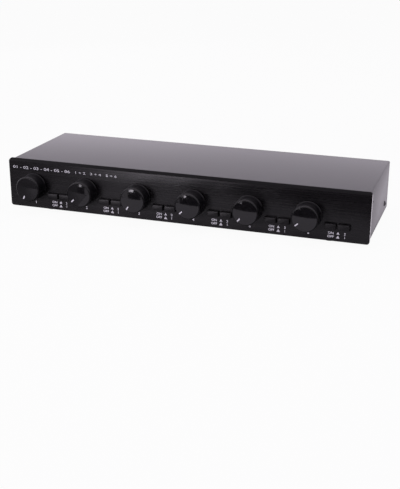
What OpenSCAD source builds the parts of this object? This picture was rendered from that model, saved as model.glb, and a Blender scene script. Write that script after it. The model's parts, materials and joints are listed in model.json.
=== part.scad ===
// Speaker selector switch: a flat metal case with six zones on its front plate, each with a
// volume knob and two push buttons, and plug-in loudspeaker terminals on its back panel.
// Inside modules, y = 0 is the plate's front face, z = 0 its lower edge and x = 0 its middle.

/* [Front plate] */
// Width of the front plate
plate_w = 430; // [424:1:460]
// Height of the front plate
plate_h = 58; // [56:0.5:66]
// Thickness of the front plate
plate_t = 4; // [3.5:0.25:6]
// Corner radius of the plate's outline
plate_corner_r = 3; // [1:0.5:5]
// Height of the bevel along the plate's upper front edge
bevel_h = 3; // [1:0.25:4]
// Depth of that bevel
bevel_d = 1.2; // [0.5:0.1:2]
// How far the plate stands past each side of the case
plate_overhang = 2; // [1:0.25:4]
// How far the plate stands above the case
plate_rise = 1.5; // [0.5:0.25:3]
// How far the plate reaches below the case
plate_drop = 0.5; // [0:0.25:2]

/* [Case] */
// Depth from the plate's front face to the back panel's outer face
case_d = 141; // [138:1:190]
// Thickness of the sheet metal
sheet_t = 1.2; // [0.8:0.1:1.5]
// Outer radius of the cover's two top bends
bend_r = 1.8; // [1.6:0.1:3]
// Width of the cover's flanges at both ends of the back panel
back_flange_w = 10; // [8:0.5:12]
// Height of the cover's inner flange behind the back panel's top
top_flange_h = 12; // [10:0.5:16]
// Height of the pan's side flanges
pan_flange_h = 16; // [14:0.5:20]
// Depth of the front wall's side returns
wall_return_d = 14; // [12:0.5:20]
// Height of the pan's flange behind the back panel's foot
pan_back_flange_h = 6; // [4:0.5:7]
// Distance from the outer screws of the back panel to the cover's flanges
rear_screw_in = 8; // [7:0.5:12]
// Height of the screws in the cover's flanges above the plate's lower edge
flange_screw_z = 24.8; // [20:0.1:32]

/* [Zones] */
// Distance from the plate's left end to the first knob's axis
first_knob_in = 32.5; // [30:0.5:36]
// Distance from the last knob's axis to the plate's right end
last_knob_in = 67.5; // [64:0.5:72]
// Height of the knob axes above the plate's lower edge
knob_z = 27; // [26:0.5:29]
// Gap from a knob's foot ring to its zone's first button
knob_cap_gap = 2.8; // [2:0.1:4]
// Gap between a zone's two buttons
cap_gap = 2.2; // [1.8:0.1:3]
// Gap from a zone's second button to the next knob's foot ring
next_knob_gap = 4.4; // [3:0.1:6]
// Height of the button centres above the plate's lower edge
button_z = 16.9; // [16:0.1:18]

/* [Knobs] */
// Diameter of a knob
knob_d = 30; // [24:0.5:31]
// Length of a knob
knob_len = 18.7; // [15:0.1:25]
// Running gap between the knobs and the plate
knob_gap = 0.8; // [0.4:0.1:2]
// Height of the knob face's crown
knob_crown = 0.8; // [0.2:0.1:1.5]
// Radius round the edge of a knob's face
knob_edge_r = 1.8; // [0.5:0.1:3]
// How far a knob's foot ring stands out
knob_ring = 0.5; // [0.2:0.1:1]
// Height of a knob's foot ring
knob_ring_h = 1.4; // [1:0.1:3]
// Wall of the hollow behind a knob
knob_wall = 2.4; // [1.5:0.1:3.5]
// Diameter of a knob's hub
knob_hub_d = 11; // [9:0.5:13]
// Depth of the hollow behind a knob
knob_hollow_d = 13; // [8:0.5:14]
// How far a shaft reaches into its knob
knob_grip = 12; // [9:0.5:14]
// Width of the pointer groove
pointer_w = 1.5; // [1:0.1:3]
// Where the pointer groove starts, from the knob's axis
pointer_start = 8.5; // [4:0.5:10]
// Depth of the pointer groove
pointer_deep = 0.4; // [0.2:0.1:0.8]

/* [Buttons] */
// Height of a button cap
cap_h = 6.2; // [5:0.1:8]
// How far a cap stands out of the plate
cap_proud = 4.5; // [4:0.1:6]
// Length of a cap, front to back
cap_len = 12.5; // [11:0.1:13]
// Bevel round a cap's face
cap_bevel = 0.5; // [0.2:0.1:1]
// How far a button travels when it is pressed
button_travel = 3; // [2:0.25:3.5]
// Thickness of the square stem behind a cap
stem_w = 3.2; // [2.5:0.1:4]
// Length of the stem
stem_len = 17; // [14:0.5:17.5]

/* [Volume controls and switches] */
// Diameter of a control's shaft
shaft_d = 6; // [5:0.1:6.4]
// Depth of the flat on a shaft's end
shaft_flat = 1.5; // [1:0.1:2]
// Outer diameter of a control's bushing
bushing_d = 9; // [8.5:0.1:10]
// Length of the bushing in front of the control
bushing_len = 5; // [4.5:0.1:5.5]
// Width of a control's square mounting plate
control_w = 26; // [24:0.5:27]
// Thickness of the mounting plate
control_plate_t = 1.5; // [1:0.1:2]
// Diameter of a control's two drums
drum_d = 25; // [20:0.5:27]
// Length of one drum
drum_len = 9; // [7:0.5:10]
// Gap between the two drums
drum_gap = 0.8; // [0.5:0.1:1.5]
// Thickness of a lock washer
washer_t = 0.5; // [0.4:0.1:0.8]
// Diameter of a lock washer
washer_d = 13.5; // [13:0.5:15]
// Thickness of a bushing nut
nut_t = 2.2; // [1.8:0.1:2.5]
// Width of a bushing nut across its flats
nut_flats = 12; // [11:0.5:13]
// Width and height of a push switch's body
switch_w = 8.6; // [7:0.1:9]
// Length of a push switch's body
switch_len = 22; // [20:0.5:24]

/* [Terminals] */
// Distance from the plate's ends to the middle of the outer terminal blocks
block_end = 55; // [50:1:60]
// Number of wires that one plug takes
ways = 8; // [6:1:8]
// Distance from one wire to the next
way_pitch = 5.08; // [5:0.01:5.08]
// Height of a plug
plug_h = 15; // [14:0.5:18]
// How far a plug stands out of the back panel
plug_proud = 10; // [8:0.5:14]
// Side wall at each end of a plug
plug_wall = 0.6; // [0.5:0.1:0.8]
// Bevel along a plug's upper front edge
plug_bevel = 0.8; // [0.5:0.1:1.2]
// Width of the grooves that part a plug's ways
groove_w = 0.6; // [0.4:0.1:0.8]
// Depth of those grooves
groove_deep = 0.5; // [0.3:0.1:0.8]
// Depth of a wire clamp, front to back
clamp_d = 4.8; // [4:0.1:5]
// Wall of a wire clamp
clamp_wall = 0.5; // [0.4:0.05:0.6]
// Gap round a wire clamp in its plug
clamp_gap = 0.1; // [0.05:0.05:0.2]
// How far a clamp's screw lies below the plug's top
clamp_sunk = 2.5; // [2:0.1:4]
// Depth of the slot in a clamp's screw
slot_deep = 0.8; // [0.5:0.1:1]
// Width of a wire opening
wire_w = 3.4; // [3:0.1:3.6]
// Height of a wire opening
wire_h = 3.8; // [3:0.1:3.9]
// Diameter of the screwdriver holes in a plug's top
driver_d = 3.3; // [3:0.1:3.6]
// Depth of a header, front to back
header_d = 12.2; // [11:0.1:13]
// Wall of a header's socket
header_wall = 1; // [0.8:0.1:1.2]
// Height of a header
header_h = 9.4; // [9:0.1:10]
// Thickness of a header's square pins
pin_w = 1; // [0.8:0.1:1.1]

/* [Boards] */
// Thickness of the circuit boards
board_t = 1.6; // [1:0.1:1.7]
// Height of the main board's top above the plate's lower edge
main_board_z = 9.5; // [9:0.1:10]
// Where the main board starts, behind the plate's front face
main_board_y = 56; // [54:0.5:58]
// Depth of the switch board
switch_board_d = 37; // [35:0.5:38]
// Gap between the boards' ends and the pan's sides
board_side_gap = 4.4; // [3.6:0.1:6]
// Gap between two autoformers
core_gap = 3; // [1:0.5:8]
// Height of an autoformer's core
core_h = 26; // [20:0.5:30]
// Stack thickness of the core
core_t = 16; // [10:0.5:20]
// Width of a ribbon cable
ribbon_w = 25; // [15:0.5:26]
// Thickness of a ribbon cable
ribbon_t = 1; // [0.8:0.1:1.4]

/* [Feet and screws] */
// Diameter of a foot
foot_d = 17; // [13:0.5:20]
// Height of a foot
foot_h = 5; // [4.5:0.25:10]
// Distance from the plate's ends to the feet's axes
foot_end = 46; // [35:1:60]
// Distance from the case's ends to the feet, front and back
foot_inset = 14; // [11:0.5:18]
// Diameter of a screw's thread
screw_d = 3; // [2.5:0.1:3]
// Diameter of a screw's head
head_d = 6.4; // [5:0.1:6.5]
// Height of a screw's head
head_h = 1.8; // [1.4:0.1:1.9]
// Width of the cross recess in a screw's head
recess_w = 0.7; // [0.5:0.1:0.9]
// Length of the thread on the screws that hold the case
case_screw_len = 4; // [3:0.5:5]
// Diameter of the standoffs
post_d = 6; // [5:0.1:7]

/* [Clearances] */
// Gap between fixed sheet parts that slide together
fit_gap = 0.2; // [0.1:0.05:0.3]
// Gap round a piece that moves
move_gap = 0.4; // [0.3:0.05:0.5]
// Radial running gap round a shaft
shaft_gap = 0.05; // [0.02:0.01:0.1]
// Radial gap round a screw's thread
screw_gap = 0.05; // [0.02:0.01:0.15]
// Gap round an autoformer's winding
coil_gap = 0.2; // [0.1:0.05:0.4]

/* [Hidden] */
zones = 6;
zone_list = [1 : zones];
// Angle of each knob's pointer at rest, seen from the front and counted from the right
pointer_rest = [244, 223, 237, 224, 231, 218];
// Place of each terminal block, in steps of block_pitch: three outputs and the input
block_steps = [2, 1, 0, -2];
block_names = ["output_plug_1", "output_plug_2", "output_plug_3", "input_plug"];
block_list = [1 : len(block_steps)];

// The object stands on its feet, with its middle over the origin
plate_z = foot_h - plate_drop;
total_d = knob_gap + knob_len + case_d + plug_proud;
plate_y = knob_gap + knob_len - total_d / 2;

case_w = plate_w - 2 * plate_overhang;
case_top = plate_h - plate_rise;
case_low = plate_drop;
pan_w = case_w - 2 * (sheet_t + fit_gap);
floor_z = case_low + sheet_t;
wall_back = plate_t + sheet_t;
panel_in = case_d - sheet_t;
flange_in = case_d - 2 * sheet_t;
seam_x = case_w / 2 - back_flange_w;
tab_w = 5;
back_w = 2 * (seam_x - tab_w - 1);
side_return_in = pan_w / 2 - sheet_t;
board_w = 2 * (side_return_in - board_side_gap);
foot_x = plate_w / 2 - foot_end;
block_pitch = (plate_w - 2 * block_end) / (max(block_steps) - min(block_steps));

knob_r = knob_d / 2;
ring_r = knob_r + knob_ring;
zone_pitch = (plate_w - first_knob_in - last_knob_in) / (zones - 1);
cap_w = (zone_pitch - 2 * ring_r - knob_cap_gap - cap_gap - next_knob_gap) / 2;
button_x = ring_r + knob_cap_gap + cap_w / 2;
button_pitch = cap_w + cap_gap;
nut_hole_d = nut_flats / cos(30) + 3;
shaft_end = wall_back + control_plate_t + 2 * drum_len + drum_gap;

cap_front = -cap_proud;
cap_back = cap_front + cap_len;
stem_back = cap_back + stem_len;
switch_y = cap_back + button_travel + 0.5;
switch_board_z = button_z - switch_w / 2;
switch_board_y = wall_back + 3.8;

plug_w = ways * way_pitch + 2 * plug_wall;
shoulder_y = case_d - sheet_t - 0.3;
header_y = shoulder_y - 0.3 - header_d;
socket_d = header_d - 3.7;
tongue_h = header_h - 2 * (header_wall + move_gap);
tongue_w = plug_w - 2 * (header_wall + move_gap);
tongue_z = main_board_z + header_wall + move_gap;
tongue_len = socket_d - 0.2;
pin_z = main_board_z + header_h / 2;
wire_z = main_board_z + 1.6;
wire_deep = plug_proud - 1;
driver_y = case_d + plug_proud / 2 - 0.6;
main_board_d = header_y + header_d - 1 - main_board_y;

// A core's middle limb is a third of its width, and its outer limbs and windows are a sixth each
core_w = zone_pitch / 2 - core_gap;
limb_w = core_w / 6;
coil_y = main_board_y + 36;
window_h = core_h - 2 * limb_w;
window_w = (core_w - 4 * limb_w) / 2;
coil_t = window_w - 3 * coil_gap;

ribbon_y = [switch_board_y + switch_board_d - 7, main_board_y + 6];
socket_block = [ribbon_w + 2, 6, 6];
main_post_x = block_pitch * [-2.4, -0.5, 0.5, 2.4];
main_post_y = [main_board_y + 4, header_y + 2];
switch_post_y = [switch_board_y + 6, switch_board_y + switch_board_d - 4];
plate_screw_z = [8, plate_h - 8];
rear_screw_x = [-3, -1, 1, 3] * (seam_x - rear_screw_in) / 3;
rear_screw_z = case_top - top_flange_h / 2 - 1;
front_screw_y = plate_t + 7;
side_screws_at = [[front_screw_y, case_top - 11.5], [front_screw_y, case_low + 8],
                  [case_d - 23, case_low + 10.5]];
foot_recess = head_h + 0.6;

function zone_x(i) = -plate_w / 2 + first_knob_in + zone_pitch * (i - 1);
function block_x(i) = block_pitch * block_steps[i - 1];
function gap_x(k) = zone_x(k) + (button_x + button_pitch + switch_w / 2 + zone_pitch - control_w / 2) / 2;
switch_post_x = [for (k = [0, 2, 4, 6]) gap_x(k)];
ribbon_x = [gap_x(1), gap_x(5)];

// Points along an arc in a plane, from angle a to angle b
function arc(x, y, r, a, b, n) =
    [for (k = [0 : n]) let (t = a + (b - a) * k / n) [x + r * cos(t), y + r * sin(t)]];

// Every piece is drawn from the front plate's lower front edge and then stood on the feet
module in_place() {
    translate([0, plate_y, plate_z]) children();
}

// A box from its low corner to its high corner
module box(low, high) {
    translate(low) cube(high - low);
}

// A flat shape, drawn in x and z, made solid from y0 to y1
module depth_extrude(y0, y1) {
    translate([0, y1, 0]) rotate([90, 0, 0]) linear_extrude(y1 - y0) children();
}

// A profile, drawn in y and z, made solid across a width about x = 0
module cross_extrude(width) {
    translate([-width / 2, 0, 0]) rotate([90, 0, 90]) linear_extrude(width) children();
}

// A round bar or hole along y
module rod_y(d, y0, y1, sides = 48) {
    translate([0, y0, 0]) rotate([-90, 0, 0]) cylinder(d = d, h = y1 - y0, $fn = sides);
}

module rounded(w, h, r) {
    square([w - 2 * r, h], center = true);
    square([w, h - 2 * r], center = true);
    for (sx = [-1, 1], sz = [-1, 1])
        translate([sx * (w / 2 - r), sz * (h / 2 - r)]) circle(r = r, $fn = 32);
}

// Both sides of the case alike
module both_sides() {
    children();
    mirror([1, 0, 0]) children();
}

// A pan-head screw with a cross recess. Its head rests on z = 0 and its thread points down
module pan_screw(len) {
    difference() {
        union() {
            cylinder(d = head_d, h = head_h / 2, $fn = 32);
            translate([0, 0, head_h / 2])
                cylinder(d1 = head_d, d2 = head_d * 0.62, h = head_h / 2, $fn = 32);
            translate([0, 0, -len]) cylinder(d = screw_d, h = len + 0.1, $fn = 32);
        }
        for (turn = [0, 90])
            rotate(turn) translate([-head_d * 0.28, -recess_w / 2, head_h * 0.45])
                cube([head_d * 0.56, recess_w, head_h]);
    }
}

module screw_hole(len, gap = screw_gap) {
    cylinder(d = screw_d + 2 * gap, h = len, center = true, $fn = 32);
}

// Turns a screw so that its head faces the back
module face_back() {
    rotate([-90, 0, 0]) children();
}

// The outline of a button cap with a gap round it
module cap_opening(gap) {
    for (i = zone_list, k = [0, 1])
        translate([zone_x(i) + button_x + k * button_pitch, button_z])
            rounded(cap_w + 2 * gap, cap_h + 2 * gap, 1);
}

module at_plate_screws() {
    for (x = switch_post_x, z = plate_screw_z) translate([x, 0, z]) children();
}

module at_main_posts() {
    for (x = main_post_x, y = main_post_y) translate([x, y, 0]) children();
}

module at_switch_posts() {
    for (x = switch_post_x, y = switch_post_y) translate([x, y, 0]) children();
}

module at_feet() {
    for (x = [-foot_x, foot_x], y = [plate_t + foot_inset, case_d - foot_inset])
        translate([x, y, 0]) children();
}

module at_side_screws() {
    both_sides() for (p = side_screws_at) translate([case_w / 2, p[0], p[1]]) rotate([0, 90, 0]) children();
}

module at_rear_screws() {
    for (x = rear_screw_x) translate([x, case_d, rear_screw_z]) face_back() children();
    for (sx = [-1, 1])
        translate([sx * (seam_x + back_flange_w / 2), case_d, flange_screw_z]) face_back() children();
}

module at_blocks() {
    for (i = block_list) translate([block_x(i), 0, 0]) children();
}

module at_ways() {
    for (k = [0 : ways - 1]) translate([way_pitch * (k - (ways - 1) / 2), 0, 0]) children();
}

module faceplate() {
    color("#232224") in_place() difference() {
        intersection() {
            depth_extrude(0, plate_t) translate([0, plate_h / 2]) rounded(plate_w, plate_h, plate_corner_r);
            cross_extrude(plate_w) polygon(
                [[0, 0], [plate_t, 0], [plate_t, plate_h], [bevel_d, plate_h], [0, plate_h - bevel_h]]);
        }
        for (i = zone_list) translate([zone_x(i), 0, knob_z]) rod_y(nut_hole_d, -1, plate_t + 1);
        depth_extrude(-1, plate_t + 1) cap_opening(move_gap);
        at_plate_screws() rod_y(screw_d + 2 * screw_gap, plate_t - 2.8, plate_t + 1, 32);
    }
}

module chassis_pan() {
    return_top = case_top - sheet_t - fit_gap - bend_r;
    color("#8d8f92") in_place() difference() {
        union() {
            box([-pan_w / 2, plate_t, case_low], [pan_w / 2, flange_in, floor_z]);
            box([-back_w / 2, plate_t, case_low], [back_w / 2, panel_in, floor_z]);
            box([-back_w / 2, flange_in, case_low], [back_w / 2, panel_in, case_low + pan_back_flange_h]);
            depth_extrude(plate_t, wall_back) cover_outline(sheet_t + fit_gap, bend_r);
            both_sides() {
                box([side_return_in, plate_t, case_low], [pan_w / 2, flange_in, case_low + pan_flange_h]);
                box([side_return_in, plate_t, case_low], [pan_w / 2, plate_t + wall_return_d, return_top]);
            }
        }
        for (i = zone_list)
            translate([zone_x(i), 0, knob_z]) rod_y(bushing_d + 2 * screw_gap, plate_t - 1, wall_back + 1);
        depth_extrude(plate_t - 1, wall_back + 1) cap_opening(move_gap);
        at_plate_screws() rod_y(screw_d + 2 * screw_gap, plate_t - 1, wall_back + 1, 32);
        at_side_screws() screw_hole(5 * case_screw_len);
        at_feet() screw_hole(8);
    }
}

module rear_panel() {
    color("#26262a") in_place() difference() {
        union() {
            box([-seam_x + fit_gap, panel_in, case_low + 0.7],
                [seam_x - fit_gap, case_d, case_top - sheet_t - fit_gap]);
            both_sides() {
                box([seam_x - tab_w, flange_in, case_low + 2], [seam_x - fit_gap, case_d, case_top - 4]);
                box([seam_x - tab_w, flange_in, case_low + 2], [pan_w / 2 - 0.6, panel_in, case_top - 4]);
            }
        }
        at_rear_screws() screw_hole(5 * case_screw_len);
        at_blocks() translate([0, 0, main_board_z + plug_h / 2])
            depth_extrude(flange_in - 1, case_d + 1)
                square([plug_w, plug_h] + 2 * [move_gap, move_gap], center = true);
    }
}

// The cover's outline seen from the front: a top with two sides
module cover_outline(inset, r) {
    w = case_w - 2 * inset;
    top = case_top - inset;
    translate([-w / 2, case_low]) square([w, top - case_low - r]);
    translate([-w / 2 + r, case_low]) square([w - 2 * r, top - case_low]);
    for (sx = [-1, 1]) translate([sx * (w / 2 - r), top - r]) circle(r = r, $fn = 32);
}

module cover() {
    inner_top = case_top - sheet_t / 2;
    color("#2b2b2e") in_place() difference() {
        union() {
            depth_extrude(plate_t, case_d) difference() {
                cover_outline(0, bend_r);
                translate([0, -0.01]) cover_outline(sheet_t, bend_r - sheet_t);
            }
            both_sides() box([seam_x, panel_in, case_low], [case_w / 2 - sheet_t / 2, case_d, inner_top]);
            box([-back_w / 2, flange_in, case_top - top_flange_h], [back_w / 2, panel_in, inner_top]);
        }
        at_side_screws() screw_hole(5 * case_screw_len);
        at_rear_screws() screw_hole(5 * case_screw_len);
    }
}

// Half of a knob cut through its axis: radius across, height up from its back
knob_face_r = knob_r - knob_edge_r;
knob_edge_h = knob_len - knob_crown - knob_edge_r;
function crown_h(r) = knob_len - knob_crown * pow(r / knob_face_r, 2);
knob_outline = concat(
    [for (k = [0 : 8]) [knob_face_r * k / 8, crown_h(knob_face_r * k / 8)]],
    [for (p = arc(knob_face_r, knob_edge_h, knob_edge_r, 75, 0, 5)) p],
    [[knob_r, knob_ring_h + knob_ring], [ring_r, knob_ring_h], [ring_r, 0], [knob_r - knob_wall, 0],
     [knob_r - knob_wall, knob_hollow_d], [knob_hub_d / 2, knob_hollow_d], [knob_hub_d / 2, 0], [0, 0]]);

// A round section with one flat, as on a shaft's end
module d_section(d, flat) {
    intersection() {
        circle(d = d, $fn = 48);
        translate([-d, -d]) square([2 * d, 1.5 * d - flat]);
    }
}

module knob(i) {
    pointer = pointer_rest[i - 1];
    color("#1d1c20") in_place() translate([zone_x(i), -knob_gap, knob_z]) rotate([90, 0, 0]) difference() {
        rotate_extrude($fn = 96) polygon(knob_outline);
        rotate(pointer - 90) translate([0, 0, -1]) linear_extrude(knob_grip + 1.2)
            d_section(shaft_d, shaft_flat);
        intersection() {
            rotate(pointer) translate([pointer_start, -pointer_w / 2, 0]) cube([knob_r, pointer_w, knob_len]);
            rotate_extrude($fn = 96) polygon(concat(
                [for (k = [0 : 8]) [knob_face_r * k / 8, crown_h(knob_face_r * k / 8) - pointer_deep]],
                [[knob_face_r, knob_len + 1], [0, knob_len + 1]]));
        }
    }
}

module control_shaft(i) {
    pointer = pointer_rest[i - 1];
    color("#a9abae") in_place() translate([zone_x(i), 0, knob_z]) difference() {
        rod_y(shaft_d, -knob_gap - knob_grip, shaft_end - 0.8);
        rotate([90, 0, 0]) rotate(pointer - 90)
            translate([-shaft_d, shaft_d / 2 - shaft_flat, 0.5])
                cube([2 * shaft_d, shaft_d, knob_gap + knob_grip]);
    }
}

module volume_control(i) {
    leg_top = knob_z - drum_d * 0.4;
    drum_y = [for (k = [0, 1]) wall_back + control_plate_t + k * (drum_len + drum_gap)];
    color("#5b4a34") in_place() translate([zone_x(i), 0, 0]) difference() {
        union() {
            translate([0, 0, knob_z]) {
                rod_y(bushing_d, wall_back - bushing_len, wall_back + 1);
                box([-control_w / 2, wall_back, -control_w / 2],
                    [control_w / 2, wall_back + control_plate_t, control_w / 2]);
                for (y = drum_y) rod_y(drum_d, y, y + drum_len);
                rod_y(drum_d * 0.8, wall_back, shaft_end);
            }
            for (y = drum_y + [1, 1] * drum_len / 2, x = [-5, 0, 5])
                box([x - 0.6, y - 0.4, switch_board_z], [x + 0.6, y + 0.4, leg_top]);
        }
        translate([0, 0, knob_z]) rod_y(shaft_d + 2 * shaft_gap, wall_back - bushing_len - 1, shaft_end - 0.4);
    }
}

module shaft_nuts() {
    color("#b9bbbe") in_place() for (i = zone_list)
        translate([zone_x(i), plate_t - washer_t - nut_t, knob_z]) difference() {
            rotate([-90, 0, 0]) cylinder(d = nut_flats / cos(30), h = nut_t, $fn = 6);
            rod_y(bushing_d + 2 * screw_gap, -1, nut_t + 1);
        }
}

module lock_washers() {
    color("#b9bbbe") in_place() for (i = zone_list)
        translate([zone_x(i), plate_t - washer_t, knob_z]) difference() {
            rod_y(washer_d, 0, washer_t);
            rod_y(bushing_d + 2 * screw_gap, -1, washer_t + 1);
        }
}

// A cap with a beveled face, and the square stem that it is moulded with
module button(x) {
    hw = cap_w / 2;
    hh = cap_h / 2;
    color("#1b1a1d") in_place() translate([x, 0, button_z]) {
        intersection() {
            depth_extrude(cap_front, cap_back) rounded(cap_w, cap_h, 0.8);
            linear_extrude(cap_h, center = true)
                polygon([[-hw, cap_back], [-hw, cap_front + cap_bevel], [-hw + cap_bevel, cap_front],
                         [hw - cap_bevel, cap_front], [hw, cap_front + cap_bevel], [hw, cap_back]]);
            cross_extrude(cap_w)
                polygon([[cap_back, -hh], [cap_front + cap_bevel, -hh], [cap_front, -hh + cap_bevel],
                         [cap_front, hh - cap_bevel], [cap_front + cap_bevel, hh], [cap_back, hh]]);
        }
        box([-stem_w / 2, cap_back - 1, -stem_w / 2], [stem_w / 2, stem_back, stem_w / 2]);
    }
}

module push_switches() {
    channel = stem_w + 2 * move_gap;
    channel_back = stem_back + button_travel + 0.5;
    color("#3a3a3e") in_place() for (i = zone_list, k = [0, 1])
        translate([zone_x(i) + button_x + k * button_pitch, 0, button_z]) difference() {
            box([-switch_w / 2, switch_y, -switch_w / 2], [switch_w / 2, switch_y + switch_len, switch_w / 2]);
            box([-channel / 2, switch_y - 1, -channel / 2], [channel / 2, channel_back, channel / 2]);
        }
}

module main_board() {
    color("#1f5c33") in_place() difference() {
        box([-board_w / 2, main_board_y, main_board_z - board_t],
            [board_w / 2, main_board_y + main_board_d, main_board_z]);
        at_main_posts() translate([0, 0, main_board_z]) screw_hole(8);
        at_blocks() at_ways() translate([0, header_y - 2, main_board_z])
            cylinder(d = pin_w * 1.5, h = 8, center = true, $fn = 16);
    }
}

module switch_board() {
    color("#1f5c33") in_place() difference() {
        box([-board_w / 2, switch_board_y, switch_board_z - board_t],
            [board_w / 2, switch_board_y + switch_board_d, switch_board_z]);
        at_switch_posts() translate([0, 0, switch_board_z]) screw_hole(8);
    }
}

module at_autoformers() {
    for (i = zone_list, s = [-1, 1])
        translate([zone_x(i) + button_x * 0.3 + s * zone_pitch / 4, coil_y, main_board_z]) children();
}

module autoformer_cores() {
    color("#6e6f72") in_place() at_autoformers() difference() {
        box([-core_w / 2, -core_t / 2, 0], [core_w / 2, core_t / 2, core_h]);
        both_sides() box([limb_w, -core_t, limb_w], [limb_w + window_w, core_t, limb_w + window_h]);
    }
}

module autoformer_coils() {
    inner = [2 * limb_w, core_t] + 2 * [coil_gap, coil_gap];
    outer = inner + 2 * [coil_t, coil_t];
    color("#a8602c") in_place() at_autoformers() translate([0, 0, limb_w + coil_gap])
        linear_extrude(window_h - 2 * coil_gap) difference() {
            square(outer, center = true);
            square(inner, center = true);
        }
}

module terminal_headers() {
    socket = [plug_w - 2 * header_wall, header_h - 2 * header_wall];
    color("#1a1a1c") in_place() at_blocks() difference() {
        box([-plug_w / 2, header_y, main_board_z], [plug_w / 2, header_y + header_d, main_board_z + header_h]);
        translate([0, 0, pin_z]) depth_extrude(header_y + header_d - socket_d, header_y + header_d + 1)
            square(socket, center = true);
        at_ways() translate([0, 0, pin_z]) depth_extrude(header_y - 1, header_y + header_d)
            square(pin_w, center = true);
    }
}

// Each pin runs through the header's back wall and bends down into the board
module header_pins() {
    half = pin_w / 2;
    color("#c9b37a") in_place() at_blocks() at_ways() {
        box([-half, header_y - 2 - half, pin_z - half], [half, header_y + header_d - 2, pin_z + half]);
        box([-half, header_y - 2 - half, main_board_z - board_t - 1],
            [half, header_y - 2 + half, pin_z + half]);
    }
}

module plug(i) {
    half_w = plug_w / 2;
    front = case_d + plug_proud;
    top = main_board_z + plug_h;
    color("#1a1a1c") in_place() translate([block_x(i), 0, 0]) difference() {
        union() {
            cross_extrude(plug_w) polygon([
                [shoulder_y, main_board_z], [front - groove_deep, main_board_z],
                [front, main_board_z + groove_deep],
                [front, top - plug_bevel], [front - plug_bevel, top], [shoulder_y, top]]);
            box([-tongue_w / 2, shoulder_y - tongue_len, tongue_z],
                [tongue_w / 2, shoulder_y + 1, tongue_z + tongue_h]);
        }
        at_ways() {
            box([-wire_w / 2, front - wire_deep, wire_z], [wire_w / 2, front + 1, wire_z + wire_h]);
            translate([0, driver_y, wire_z + wire_h / 2]) cylinder(d = driver_d, h = plug_h, $fn = 32);
            translate([0, 0, pin_z]) depth_extrude(shoulder_y - tongue_len - 1, shoulder_y - 1)
                square(pin_w + 2 * move_gap, center = true);
        }
        // Grooves part one way from the next
        for (k = [1 : ways - 1]) translate([way_pitch * (k - ways / 2), 0, 0])
            box([-groove_w / 2, front - groove_deep, main_board_z - 1], [groove_w / 2, front + 1, top + 1]);
    }
}

// A screw clamp for each wire: a metal cage with its screw standing in the driver hole
module plug_clamps(i) {
    cage_w = wire_w - 2 * clamp_gap;
    cage_low = wire_z + clamp_gap;
    cage_top = wire_z + wire_h - clamp_gap;
    screw_top = main_board_z + plug_h - clamp_sunk;
    color("#b4b6ba") in_place() translate([block_x(i), driver_y, 0]) at_ways() difference() {
        union() {
            box([-cage_w / 2, -clamp_d / 2, cage_low], [cage_w / 2, clamp_d / 2, cage_top]);
            translate([0, 0, cage_top - clamp_wall])
                cylinder(d = driver_d - 2 * clamp_gap, h = screw_top - cage_top + clamp_wall, $fn = 32);
        }
        box([-cage_w / 2 + clamp_wall, -clamp_d, cage_low + clamp_wall + clamp_gap],
            [cage_w / 2 - clamp_wall, clamp_d, cage_top - clamp_wall - clamp_gap]);
        box([-groove_w / 2, -driver_d, screw_top - slot_deep], [groove_w / 2, driver_d, screw_top + 1]);
    }
}

// A flat cable that arches from one board to the other, with a socket at each end
module ribbon_cables() {
    mid = (ribbon_y[0] + ribbon_y[1]) / 2;
    r = (ribbon_y[1] - ribbon_y[0]) / 2;
    z0 = switch_board_z + socket_block[2];
    z1 = main_board_z + socket_block[2];
    color("#77797c") in_place() for (x = ribbon_x) translate([x, 0, 0]) {
        cross_extrude(ribbon_w) {
            translate([mid, z0]) intersection() {
                difference() {
                    circle(r = r + ribbon_t / 2, $fn = 64);
                    circle(r = r - ribbon_t / 2, $fn = 64);
                }
                translate([-2 * r, 0]) square([4 * r, 2 * r]);
            }
            translate([ribbon_y[1] - ribbon_t / 2, z1 - 0.5]) square([ribbon_t, z0 - z1 + 0.5]);
            translate([ribbon_y[0] - ribbon_t / 2, z0 - 0.5]) square([ribbon_t, 0.5]);
        }
        translate([-socket_block[0] / 2, ribbon_y[0] - socket_block[1] / 2, switch_board_z]) cube(socket_block);
        translate([-socket_block[0] / 2, ribbon_y[1] - socket_block[1] / 2, main_board_z]) cube(socket_block);
    }
}

module standoff(top) {
    translate([0, 0, floor_z]) difference() {
        cylinder(d = post_d, h = top - floor_z, $fn = 32);
        translate([0, 0, top - floor_z]) screw_hole(10);
    }
}

module board_standoffs() {
    color("#c2b280") in_place() {
        at_main_posts() standoff(main_board_z - board_t);
        at_switch_posts() standoff(switch_board_z - board_t);
    }
}

module board_screws() {
    color("#b9bbbe") in_place() {
        at_main_posts() translate([0, 0, main_board_z]) pan_screw(board_t + 4);
        at_switch_posts() translate([0, 0, switch_board_z]) pan_screw(board_t + 4);
    }
}

module rear_screws() {
    color("#c4c4c2") in_place() at_rear_screws() pan_screw(case_screw_len);
}

module side_screws() {
    color("#2b2b2e") in_place() at_side_screws() pan_screw(case_screw_len);
}

module faceplate_screws() {
    color("#b9bbbe") in_place() at_plate_screws() translate([0, wall_back, 0])
        face_back() pan_screw(sheet_t + 2.5);
}

module rubber_feet() {
    r = foot_d / 2;
    edge = 1.2;
    outline = concat(
        [[head_d / 2 + 0.6, 0]],
        arc(r - 1 - edge, edge, edge, -90, 0, 5),
        [[r, foot_h], [screw_d / 2 + screw_gap, foot_h], [screw_d / 2 + screw_gap, foot_recess],
         [head_d / 2 + 0.6, foot_recess]]);
    color("#18181a") in_place() translate([0, 0, case_low - foot_h])
        at_feet() rotate_extrude($fn = 64) polygon(outline);
}

module foot_screws() {
    color("#b9bbbe") in_place() translate([0, 0, case_low - foot_h + foot_recess]) at_feet()
        rotate([180, 0, 0]) pan_screw(foot_h - foot_recess + sheet_t + 1.5);
}

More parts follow.
